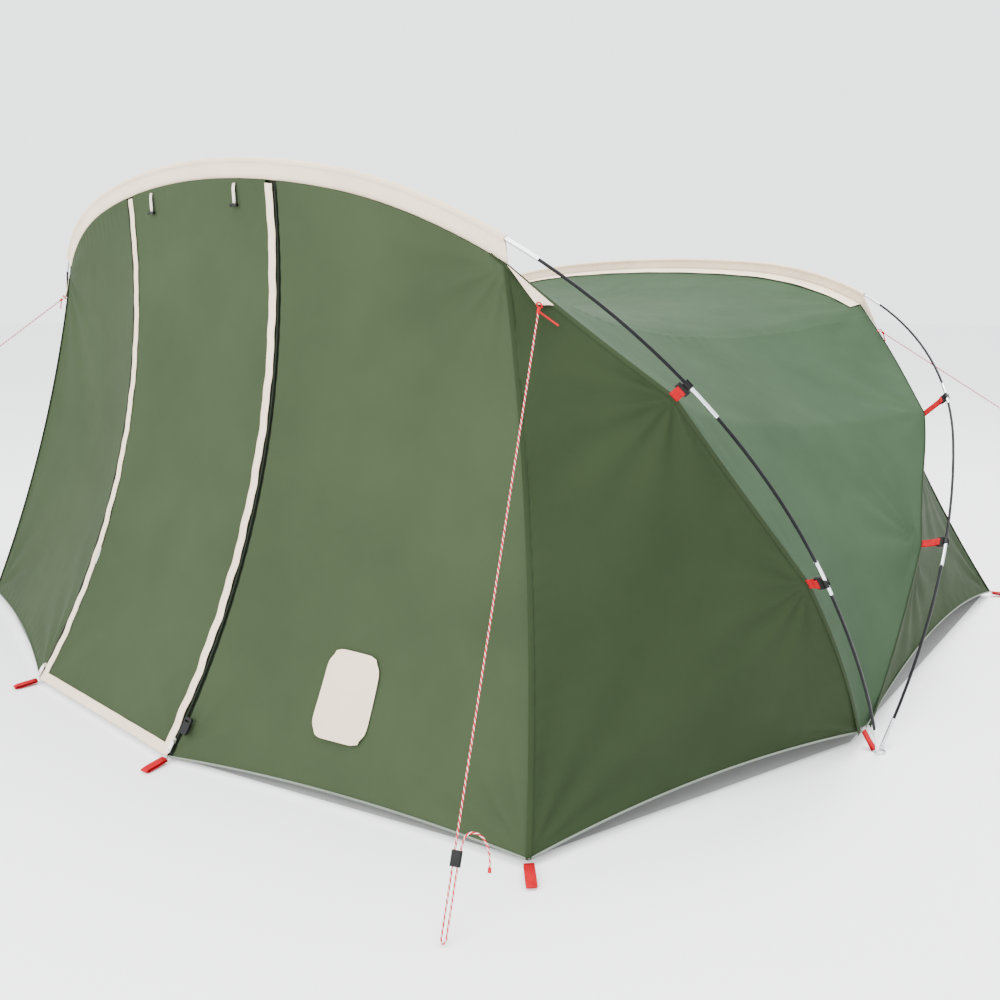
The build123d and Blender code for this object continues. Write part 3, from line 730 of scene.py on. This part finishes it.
def make_canopy():
    """One surface from foot to foot, cut where the roof is sewn to the two side panels."""
    columns, shoulder = 330, 0.31
    points, u, v = sheet_grid(canopy, columns, 130)
    inside = smooth(np.minimum(v, 1 - v) / 0.10)
    height = rolling(points, 0.45, 0.004, 41) * inside + rolling(points, 0.17, 0.0012, 42) * inside
    near_edge = smooth(np.minimum(v, 1 - v) / 0.04)
    for hoop in (FRONT, REAR):
        for place in (*hoop.clips, hoop.sleeve):
            for mirror in (1, -1):
                at = hoop.cloth_edge(place) * np.array((mirror, 1, 1))
                height = height + radiating(points, at, 0.26, 10, 0.008, place * 5) * near_edge
    width = float(np.linalg.norm(np.diff(points, axis=0), axis=2).sum(0).mean())
    for seam in (shoulder, 1 - shoulder):
        away = (u - seam) * width
        height = height + 0.0016 * np.exp(-((away / 0.03) ** 2)) * np.cos(v * 260 + 3 * np.sin(v * 30))
        height = height - 0.004 * np.exp(-np.abs(away) / 0.02)
    points = points + normals_of(points) * height[..., None]
    cut = round(shoulder * (columns - 1))
    pieces = (
        ("canopy_cloth_right", points[: cut + 1], "canopy_side_right"),
        ("canopy_cloth_roof", points[cut : columns - cut], "canopy_roof"),
        ("canopy_cloth_left", points[columns - 1 - cut :], "canopy_side_left"),
    )
    for name, part, node in pieces:
        piece = cloth_piece(name, part, cloth_roof)
        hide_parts(node)
        declare_sheet(part)


def make_canopy_band():
    """A cream facing on the roof's rear edge, between the ends of the rear sleeve."""
    run = REAR.length - 2 * EDGE_START
    start = (REAR.sleeve - EDGE_START) / run
    points, u, v = sheet_grid(canopy, 260, 8, across=(start, 1 - start), up=(0.976, 1.0))
    height = 0.0050 + 0.0006 * np.sin(u * 190) * (1 - v) / 0.024
    normal = normals_of(points)
    normal = normal * np.sign(normal[..., 2:3])
    piece = cloth_piece("canopy_band", points + normal * height[..., None], cream_cloth)


def make_rear_wall():
    points, u, v = sheet_grid(rear_wall, 160, 100)
    anchors = (
        (REAR_CORNER, 0.30, 14, 0.006, 0.5),
        (REAR_CORNER * MIRROR, 0.30, 14, 0.006, 1.5),
    )
    points = wrinkled(points, u, v, anchors, 51)
    piece = cloth_piece("wall_rear", points, cloth_roof)
    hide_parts("rear_wall")
    declare_sheet(points)


def make_patch():
    """A plain pale patch with round corners, sewn low on the right front wall."""
    across = np.linspace(-1, 1, 25)[:, None] * np.ones((1, 31))
    up = np.linspace(-1, 1, 31)[None, :] * np.ones((25, 1))
    u = 0.465 + 0.082 * across * np.sqrt(1 - 0.30 * up**8)
    v = 0.150 + 0.074 * up * np.sqrt(1 - 0.30 * across**8)
    points = front_wall(u, v)
    points = points + outward_normals(points) * 0.007
    piece = cloth_piece("wall_patch", points, cream_cloth)


def make_groundsheet():
    inset = 0.022
    right = [
        (DOOR_HALF, DOOR_FOOT[1] + inset),
        (FRONT_CORNER[0] - inset, FRONT_CORNER[1] + inset),
        (SPAN / 2 - 0.078, 0.0),
        (REAR_CORNER[0] - inset, REAR_CORNER[1] - inset),
    ]
    outline = right + [(-x, y) for x, y in reversed(right)]
    made = bmesh.new()
    made.faces.new([made.verts.new((x, y, 0.0015)) for x, y in outline])
    for _ in range(6):
        bmesh.ops.triangulate(made, faces=made.faces[:])
        bmesh.ops.subdivide_edges(made, edges=[e for e in made.edges if e.calc_length() > 0.07], cuts=1)
    bmesh.ops.triangulate(made, faces=made.faces[:])
    for vertex in made.verts:
        x, y, _ = vertex.co
        vertex.co.z = 0.0012 + 0.0009 * (1 + math.sin(9 * x + 4 * y) * math.cos(7 * y - 3 * x))
    data = bpy.data.meshes.new("floor_sheet")
    made.to_mesh(data)
    made.free()
    data.materials.append(sheet_grey)
    for polygon in data.polygons:
        polygon.use_smooth = True
    piece = link(bpy.data.objects.new("floor_sheet", data))
    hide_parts("groundsheet")


# ---- Sleeves, seams and gussets -----------------------------------------------------------
def make_sleeves():
    """A cream tunnel over the top of each pole, with a flat tail that the walls are sewn to.

    The ends of the front one are cut on a slant: its tail reaches further down than its tunnel.
    """
    for name, hoop in (("front", FRONT), ("rear", REAR)):
        places = np.linspace(hoop.sleeve, hoop.length - hoop.sleeve, 300)
        swing = hoop.tilt
        rings = []
        around = np.linspace(math.radians(28), math.radians(332), 17)
        for place in places:
            near_end = 1 - smooth(min(place - hoop.sleeve, hoop.length - hoop.sleeve - place) / 0.15)
            toward_foot = -near_end if place < hoop.half else near_end
            pucker = 0.0008 * math.sin(place * 61) + 0.0006 * math.sin(place * 143 + 1)
            radius = 0.0078 + pucker * 0.5
            profile = [(0.046, 0.0012), (0.030, 0.0015 + pucker), (0.014, 0.0028 + pucker)]
            profile += [(radius * math.cos(a), radius * math.sin(a)) for a in around]
            profile += [(0.014, -0.0028 + pucker), (0.030, -0.0015 + pucker), (0.046, -0.0012)]
            ring = []
            for a, b in profile:
                inward = a * math.cos(swing) - b * math.sin(swing)
                out = a * math.sin(swing) + b * math.cos(swing)
                longer = (0.016 + 0.70 * max(a, 0.0)) if hoop is FRONT else 0.0
                ring.append(hoop.point(place + toward_foot * longer, inward, out))
            rings.append(ring)
        rings = np.array(rings)
        count = rings.shape[1]
        piece = mesh_object(
            f"sleeve_{name}",
            rings.reshape(-1, 3),
            grid_faces(len(places), count, closed=True),
            cream_cloth,
        )
        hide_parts(f"{name}_sleeve")


SEAM_STEPS = 120


def seam_strip(name, curve, width, material, facing, lift=0.001):
    """A sewn tape along a seam; facing gives the outward direction of the cloth there."""
    line = curve(np.linspace(0, 1, SEAM_STEPS))
    along = np.gradient(line, axis=0)
    along /= np.linalg.norm(along, axis=1, keepdims=True)
    facing = np.broadcast_to(np.asarray(facing, float), line.shape)
    facing = facing - along * (facing * along).sum(1, keepdims=True)
    facing /= np.linalg.norm(facing, axis=1, keepdims=True)
    line = line + facing * lift
    return ribbon(name, line, np.cross(along, facing), width, 0.0016, material)


def make_seams():
    for side, hand in ((1, "right"), (-1, "left")):
        turn = (lambda c: c) if side > 0 else mirrored
        seams = (
            # Painted shadow: each zip's dark strip is partly the zip's own tape and partly the shade that
            # falls beside the zip
            ("zip_tape", zip_curve, 0.032, zip_dark, (side * 0.15, -1, 0), -0.006),
            # the corner seams take the darker olive of painted shade
            ("seam_corner_front", front_seam, 0.013, cloth_side, (side * 0.8, -0.6, 0.1), 0.001),
            ("seam_corner_rear", rear_seam, 0.013, cloth_side, (side * 0.5, 0.85, 0.1), 0.001),
        )
        for name, curve, width, material, facing, lift in seams:
            curve = turn(curve)
            seam_strip(f"{name}_{hand}", curve, width, material, facing, lift=lift)
        for hoop, name in ((FRONT, "front"), (REAR, "rear")):
            fold = edge_between(hoop, EDGE_START, hoop.sleeve)
            places = np.linspace(EDGE_START, hoop.sleeve, SEAM_STEPS)
            facing = (hoop.point(places, -1.0) - hoop.point(places)) * np.array((side, 1, 1))
            # the fold seams take the darker olive of painted shade
            seam_strip(f"seam_fold_{name}_{hand}", turn(fold), 0.014, cloth_side, facing)
        hems = (
            ("front", front_hem, (0.2, -1, 0)),
            ("side", front_side_hem, (1, -0.2, 0)),
            ("rear_side", rear_side_hem, (1, 0.1, 0)),
        )
        for name, curve, facing in hems:
            facing = np.array(facing) * np.array((side, 1, 1))
            seam_strip(f"hem_{name}_{hand}", turn(curve), 0.006, hem_tape, facing)
    back = seam_strip("hem_rear", rear_hem, 0.006, hem_tape, (0, 1, 0))


def off_surface(surface, u, v, off):
    """A point at a height over a surface."""
    u, v = np.array(float(u)), np.array(float(v))
    across = surface(u + 0.01, v) - surface(u - 0.01, v)
    along = surface(u, v + 0.01) - surface(u, v - 0.01)
    normal = np.cross(across, along)
    return surface(u, v) + normal * (off / np.linalg.norm(normal))


def make_gussets():
    """A cream triangle at each end of each sleeve, down to the guyline's tie."""
    front = (
        FRONT.cloth_edge(FRONT_SEAM_TOP, 0.005, -0.007),
        FRONT.cloth_edge(FRONT.sleeve - 0.196, 0.008, -0.006),
        off_surface(front_side_surface, 0.62, 0.932, 0.016),
    )
    rear = (
        REAR.cloth_edge(REAR.sleeve - 0.166, -0.024),
        REAR.cloth_edge(REAR.sleeve - 0.004, -0.013),
        REAR.point(REAR.sleeve - 0.004, 0.010, -0.013),
    )
    for name, (tip, low, high) in (("front", front), ("rear", rear)):
        for side, hand in ((1, "right"), (-1, "left")):
            u = np.linspace(0, 1, 12)[:, None, None]
            v = np.linspace(0.012, 1, 36)[None, :, None]
            points = tip + (low * (1 - u) + high * u - tip) * v
            normal = normals_of(points)
            points = points + normal * (0.0012 * np.sin(u * 9) * np.sin(v * 7) * v)
            piece = cloth_piece(f"gusset_{name}_{hand}", flip(points, side), cream_cloth)
            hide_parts(f"{name}_sleeve_gusset_{hand}")
            thicken(piece, 0.001)


# ---- Webbing ------------------------------------------------------------------------------
def make_clip_straps():
    """Red webbing from the cloth's edge to each hook, folded round the hook's bar."""
    bar, girth, thin = 0.0214, 0.0036, 0.0010
    for key, hoop in HOOPS.items():
        for side, hand in ((1, "right"), (-1, "left")):
            for number, place in enumerate(hoop.clips):
                pole = hoop.point(place)
                toward = hoop.cloth_edge(place) - pole
                reach = float(np.linalg.norm(toward))
                toward /= reach
                along = hoop.point(place + 0.001) - pole
                along /= np.linalg.norm(along)
                lift = np.cross(toward, along)
                path = [(reach + 0.004, -thin), (reach - 0.006, -thin), (0.034, -thin), (0.029, -0.0018)]
                path += [(0.0255, -girth), (bar, -girth - 0.0004), (0.0180, -0.0030), (0.0172, 0.0)]
                path += [(a, -b) for a, b in reversed(path[:-1])]
                line = np.array([pole + toward * a + lift * b for a, b in path])
                mirror = np.array((side, 1.0, 1.0))
                across = np.broadcast_to(along, line.shape)
                name = f"clip_strap_{key}_{hand}_{number}"
                piece = ribbon(name, line * mirror, across * mirror, 0.025, 0.0013, webbing_red)
                if number == 0:
                    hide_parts(f"{key}_clip_straps_{hand}")


def peg_loop_line(corner, direction, length=0.072):
    toward = np.array((*direction, 0.0))
    toward /= np.linalg.norm(toward)
    drop = corner[2] - 0.006
    along = toward * length - np.array((0, 0, drop))
    along /= np.linalg.norm(along)
    side = np.cross(toward, (0, 0, 1))
    up = np.cross(side, along)
    shape = [(0.0, 0.0028), (0.02, 0.0034), (0.045, 0.0040), (0.060, 0.0036), (0.0655, 0.0018), (0.0668, 0.0)]
    shape += [(a, -b) for a, b in reversed(shape[:-1])]
    line = np.array([corner + along * (a + 0.002) + up * b for a, b in shape])
    return line, np.broadcast_to(side, line.shape)


def make_peg_loops():
    places = (
        (DOOR_FOOT + np.array((0.004, -0.006, -0.002)), (0.15, -1)),
        (FRONT_CORNER + np.array((0.006, -0.006, -0.004)), (0.7, -0.7)),
        (REAR_CORNER + np.array((0.006, 0.006, -0.004)), (0.7, 0.7)),
    )
    for side, hand in ((1, "right"), (-1, "left")):
        for number, (corner, direction) in enumerate(places):
            line, across = peg_loop_line(corner, direction)
            mirror = np.array((side, 1.0, 1.0))
            name = f"peg_loop_{hand}_{number}"
            piece = ribbon(name, line * mirror, across * mirror, 0.024, 0.0014, webbing_red)
            if number == 0:
                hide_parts(f"peg_loops_{hand}")


def make_foot_straps():
    for side, hand in ((1, "right"), (-1, "left")):
        start = SIDE_CORNER + np.array((0.000, 0, -0.004))
        ring = np.array((SPAN / 2 - 0.015, 0, 0.0025))
        along = ring - start
        run = np.linalg.norm(along)
        along /= run
        up = np.cross((0, 1, 0), along)
        shape = [(0.0, 0.0016), (run * 0.5, 0.0018), (run - 0.006, 0.0034), (run, 0.0040)]
        shape += [(run + 0.0036, 0.0), (run, -0.0022), (run * 0.5, -0.0012), (0.0, -0.0012)]
        line = np.array([start + along * a - up * b for a, b in shape])
        line[:, 2] = np.maximum(line[:, 2], 0.0008)
        across = np.broadcast_to(np.array((0.0, 1.0, 0.0)), line.shape)
        mirror = np.array((side, 1.0, 1.0))
        piece = ribbon(f"foot_webbing_{hand}", line * mirror, across, 0.022, 0.0013, webbing_red)
        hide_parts(f"foot_strap_{hand}")


def make_toggles():
    for hand, across in (("right", 0.215), ("left", -0.215)):
        places = np.linspace(FRONT.sleeve, FRONT.half, 3000)
        place = places[np.argmin(np.abs(FRONT.cloth_edge(places)[:, 0] - abs(across)))]
        top = FRONT.cloth_edge(place, 0.004)
        x, y, z = across, top[1] - 0.006, top[2] - 0.012
        line = [(x, y + 0.003, z), (x, y, z - 0.015), (x + 0.002, y - 0.001, z - 0.034)]
        line = np.array(line + [(x, y, z - 0.052)])
        sideways = np.broadcast_to((1.0, 0, 0), line.shape)
        name = f"toggle_strap_{hand}"
        strap = ribbon(name, line, sideways, 0.013, 0.0012, webbing_cream, "door")
        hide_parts(f"toggle_{hand}")
        count, sides = 9, 12
        steps = range(count)
        bar = np.array([(x - 0.015 + 0.03 * k / (count - 1), y - 0.001, z - 0.057) for k in steps])
        girth = 0.0032 + 0.0014 * np.abs(np.linspace(-1, 1, count)) ** 3
        rings = tube_mesh(bar, 1.0, sides)
        rings = bar[:, None] + (rings - bar[:, None]) * girth[:, None, None]
        last = (count - 1) * sides
        faces = grid_faces(count, sides, closed=True)
        faces += [tuple(range(sides)), tuple(last + i for i in reversed(range(sides)))]
        button = mesh_object(f"toggle_bar_{hand}", rings.reshape(-1, 3), faces, black_plastic, "door")


# ---- Guylines -----------------------------------------------------------------------------
GUY_TIE = {
    "front": np.array((1.1562, -0.7157, 1.1630)),
    "rear": np.array((1.1808, 1.3444, 1.0379)),
}
KNOT_END = 0.021
CORD = 0.004


def smooth_line(name, points):
    """The points along a smooth curve that has the given control points."""
    data = bpy.data.curves.new(name, "CURVE")
    data.dimensions = "3D"
    data.resolution_u = 24
    spline = data.splines.new("NURBS")
    spline.points.add(len(points) - 1)
    for point, place in zip(spline.points, points):
        point.co = (*place, 1.0)
    spline.order_u = 3
    spline.use_endpoint_u = True
    curve = bpy.data.objects.new(name, data)
    bpy.context.scene.collection.objects.link(curve)
    bpy.context.view_layer.update()
    mesh = bpy.data.meshes.new_from_object(curve.evaluated_get(bpy.context.evaluated_depsgraph_get()))
    line = np.array([v.co for v in mesh.vertices])
    bpy.data.meshes.remove(mesh)
    bpy.data.objects.remove(curve)
    return line


def even(line, step):
    gone = np.concatenate([[0], np.cumsum(np.linalg.norm(np.diff(line, axis=0), axis=1))])
    wanted = np.linspace(0, gone[-1], max(int(gone[-1] / step), 2) + 1)
    return np.stack([np.interp(wanted, gone, line[:, k]) for k in range(3)], 1), float(gone[-1])


def braid(name, points):
    """A braided cord: a tube whose faces alternate red and white in crossing spirals."""
    line, length = even(smooth_line(name, points), 0.0022)
    sides = 12
    rings = tube_mesh(line, CORD / 2, sides)
    knobs = 1 + 0.05 * np.cos(np.arange(len(line))[:, None] * 1.6 + np.arange(sides)[None, :] * math.pi / 2)
    rings = line[:, None] + (rings - line[:, None]) * knobs[..., None]
    faces = grid_faces(len(line), sides, closed=True)
    piece = mesh_object(name, rings.reshape(-1, 3), faces, (cord_red, cord_white))
    for number, polygon in enumerate(piece.data.polygons):
        ring, side = divmod(number, sides)
        polygon.material_index = 1 if (ring + side) % 6 < 2 else 0
    return piece, line, length


def make_guylines():
    tie = GUY_TIE["front"]
    peg = np.array((1.402, -1.300, 0.005))
    down = (peg - tie) / np.linalg.norm(peg - tie)
    across = np.cross((0, 0, 1), down)
    across /= np.linalg.norm(across)
    runner = tie + (peg - tie) * 0.885
    leave = runner - down * 0.030 + across * 0.010
    points = [
        tie + down * KNOT_END,
        peg - down * 0.024,
        peg,
        peg + across * 0.010,
        peg + across * 0.010 - down * 0.024,
        leave,
        leave - down * 0.022 + across * 0.012,
        leave - down * 0.026 + across * 0.038 + (0, 0, -0.006),
        leave - down * 0.006 + across * 0.058 + (0, 0, -0.014),
        leave + down * 0.026 + across * 0.062 + (0, 0, -0.010),
    ]
    piece, line, length = braid("guy_cord_front_right", points)
    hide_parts("guyline_front_right")
    tuple(points[0])
    taut = (
        ("front_left", GUY_TIE["front"] * MIRROR, (-1.750, -2.150, 0), 0.330),
        ("rear_right", GUY_TIE["rear"], (2.690, 2.000, 0), 0.620),
    )
    for name, tie, toward, length in taut:
        way = np.array(toward) - tie
        way /= np.linalg.norm(way)
        points = [tie + way * place for place in (KNOT_END, 0.05, length - 0.03, length)]
        piece, line, made = braid(f"guy_cord_{name}", points)
        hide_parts(f"guyline_{name}")
        tuple(points[0])


# ---- CAD pieces that keep their shape -----------------------------------------------------
def dress_cad_nodes():
    looks = {
        "pole": rod_black,
        "ferrules": ferrule_metal,
        "foot_ring": ring_metal,
        "clip_hooks": black_plastic,
        "hem_buckle": black_plastic,
        "guy_runner": black_plastic,
        "zip_coil": zip_dark,
        "zip_slider": slider_metal,
        "zip_puller": white_plastic,
        "guy_loop": cord_red,
        "guy_tail_knot": cord_red,
        "guy_ties": cord_red,
    }
    for obj in list(bpy.data.objects):
        if obj.name not in frame["nodes"]:
            continue
        for key, material in looks.items():
            if key in obj.name:
                obj.data.materials.clear()
                obj.data.materials.append(material)


# ---- Floor and light ----------------------------------------------------------------------
def make_stage():
    size = 30.0
    data = bpy.data.meshes.new("floor")
    corners = [(-size, -size, 0), (size, -size, 0), (size, size, 0), (-size, size, 0)]
    data.from_pydata(corners, [], [(0, 1, 2, 3)])
    floor = bpy.data.objects.new("floor", data)
    bpy.context.scene.collection.objects.link(floor)
    s = Surface("floor", (0.93, 0.93, 0.93), 0.9)
    s.tint(s.noise(1.5, 2.0), 0.99, 1.01)
    data.materials.append(s.material)
    floor.location.z = -0.0005


def area_light(name, place, aim, size, power, colour=(1, 1, 1)):
    data = bpy.data.lights.new(name, "AREA")
    data.size = size
    data.energy = power
    data.color = colour
    light = bpy.data.objects.new(name, data)
    bpy.context.scene.collection.objects.link(light)
    light.location = place
    light.rotation_euler = (Vector(aim) - Vector(place)).to_track_quat("-Z", "Y").to_euler()


def make_light():
    world = bpy.data.worlds.new("world")
    bpy.context.scene.world = world
    world.use_nodes = True
    world.node_tree.nodes["Background"].inputs["Color"].default_value = (0.95, 0.97, 1.0, 1.0)
    world.node_tree.nodes["Background"].inputs["Strength"].default_value = 2.8
    area_light("key", (0.9, -6.0, 4.0), (0.2, -0.5, 0.6), 5.0, 600)
    area_light("top", (1.0, 1.5, 6.0), (0, 0.3, 0.8), 4.0, 620)
    # daylight that comes through thin cloth into the tent
    area_light("inside", (0, 0.3, 1.0), (0, 0.3, 0), 1.2, 45)


make_camera()
make_guylines()
make_front_walls()
make_door()
make_door_trim()
make_side_walls()
make_canopy()
make_canopy_band()
make_rear_wall()
make_patch()
make_groundsheet()
make_sleeves()
make_seams()
make_gussets()
make_clip_straps()
make_peg_loops()
make_foot_straps()
make_toggles()
dress_cad_nodes()
make_stage()
make_light()
